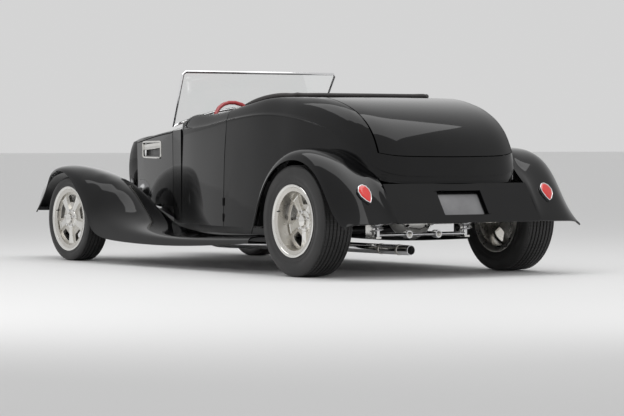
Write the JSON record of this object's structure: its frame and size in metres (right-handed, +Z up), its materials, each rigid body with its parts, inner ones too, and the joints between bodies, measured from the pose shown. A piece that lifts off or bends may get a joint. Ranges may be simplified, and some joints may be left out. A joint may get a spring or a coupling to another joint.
{
  "type": "street rod roadster",
  "caption": "Full-size open street rod roadster with fendered body, hinged doors, hood and deck lid, coupled steering and free-spinning wheels.",
  "frame": {"origin": "on the ground under the middle of the overall box", "axes": "+X forward, +Y to the car's left, +Z up"},
  "size_m": [4.0848, 1.7712, 1.2753],
  "materials": {
    "black_paint": "gloss",
    "satin_alloy": "satin",
    "chrome": "polished",
    "dark_steel": "satin",
    "tyre_rubber": "matte",
    "clear_glass": "polished",
    "red_lens": "gloss",
    "dark_leather": "satin",
    "red_rim": "gloss",
    "dark_trim": "matte",
    "engine_iron": "satin"
  },
  "bodies": {
    "chassis": {"body_tub": "black_paint", "cowl": "black_paint", "hood_side_left": "black_paint", "hood_side_right": "black_paint", "grille_shell": "black_paint", "grille_insert": "chrome", "front_fender_left": "black_paint", "front_fender_right": "black_paint", "rear_fender_left": "black_paint", "rear_fender_right": "black_paint", "rear_pan": "black_paint", "headlamp_left": "chrome", "headlamp_right": "chrome", "tail_lamp_left": "red_lens", "tail_lamp_right": "red_lens", "windshield_frame": "chrome", "windshield_glass": "clear_glass", "cockpit_coaming": "dark_trim", "dashboard": "dark_trim", "bench_seat": "dark_leather", "steering_column": "dark_steel", "floor_and_firewall": "dark_steel", "trunk_floor": "dark_steel", "frame_rails": "dark_steel", "engine_block": "engine_iron", "exhaust": "satin_alloy", "front_axle": "chrome", "rear_axle": "satin_alloy", "rear_suspension": "chrome"},
    "knuckle_left": {"knuckle_left": "dark_steel"},
    "door_left": {"door_left": "black_paint"},
    "wheel_front_left": {"rim_front_left": "satin_alloy", "tyre_front_left": "tyre_rubber"},
    "wheel_rear_left": {"rim_rear_left": "satin_alloy", "tyre_rear_left": "tyre_rubber"},
    "knuckle_right": {"knuckle_right": "dark_steel"},
    "door_right": {"door_right": "black_paint"},
    "wheel_front_right": {"rim_front_right": "satin_alloy", "tyre_front_right": "tyre_rubber"},
    "wheel_rear_right": {"rim_rear_right": "satin_alloy", "tyre_rear_right": "tyre_rubber"},
    "tie_rod": {"tie_rod": "chrome"},
    "steering_wheel": {"steering_wheel": "red_rim"},
    "deck_lid": {"deck_lid": "black_paint"},
    "hood_top": {"hood_top": "black_paint"}
  },
  "joints": [
    {"name": "steer_left", "type": "hinge", "parent": "chassis", "child": "knuckle_left", "pos_m": [1.40744, 0.598, 0.286], "axis": [0, 0, 1], "range_deg": [-30, 30]},
    {"name": "steer_right", "type": "hinge", "parent": "chassis", "child": "knuckle_right", "pos_m": [1.40744, -0.598, 0.286], "axis": [0, 0, 1], "range_deg": [-30, 30]},
    {"name": "tie_rod_pivot", "type": "hinge", "parent": "knuckle_left", "child": "tie_rod", "pos_m": [1.26744, 0.598, 0.2005], "axis": [0, 0, 1], "range_deg": [-30, 30]},
    {"name": "steering_wheel_turn", "type": "hinge", "parent": "chassis", "child": "steering_wheel", "pos_m": [0.02761, 0.32, 0.915], "axis": [-0.891, 0, 0.454], "range_deg": [-540, 540]},
    {"name": "front_left_spin", "type": "hinge", "parent": "knuckle_left", "child": "wheel_front_left", "pos_m": [1.40744, 0.734, 0.286], "axis": [0, 1, 0], "continuous": true},
    {"name": "rear_left_spin", "type": "hinge", "parent": "chassis", "child": "wheel_rear_left", "pos_m": [-1.43756, 0.765, 0.336], "axis": [0, 1, 0], "continuous": true},
    {"name": "door_left_hinge", "type": "hinge", "parent": "chassis", "child": "door_left", "pos_m": [-0.33654, 0.66816, 0.27468], "axis": [0, 0, 1], "range_deg": [0, 65]},
    {"name": "front_right_spin", "type": "hinge", "parent": "knuckle_right", "child": "wheel_front_right", "pos_m": [1.40744, -0.734, 0.286], "axis": [0, 1, 0], "continuous": true},
    {"name": "rear_right_spin", "type": "hinge", "parent": "chassis", "child": "wheel_rear_right", "pos_m": [-1.43756, -0.765, 0.336], "axis": [0, 1, 0], "continuous": true},
    {"name": "door_right_hinge", "type": "hinge", "parent": "chassis", "child": "door_right", "pos_m": [-0.33654, -0.66816, 0.27468], "axis": [0, 0, -1], "range_deg": [0, 65]},
    {"name": "deck_lid_hinge", "type": "hinge", "parent": "chassis", "child": "deck_lid", "pos_m": [-1.23588, 0, 1.08198], "axis": [0, 1, 0], "range_deg": [0, 55]},
    {"name": "hood_hinge", "type": "hinge", "parent": "chassis", "child": "hood_top", "pos_m": [0.52833, 0, 0.97206], "axis": [0, -1, 0], "range_deg": [0, 60]}
  ],
  "couplings": [
    {"joint": "steer_right", "follows": "steer_left", "ratio": 1},
    {"joint": "tie_rod_pivot", "follows": "steer_left", "ratio": -1},
    {"joint": "steering_wheel_turn", "follows": "steer_left", "ratio": 18}
  ]
}
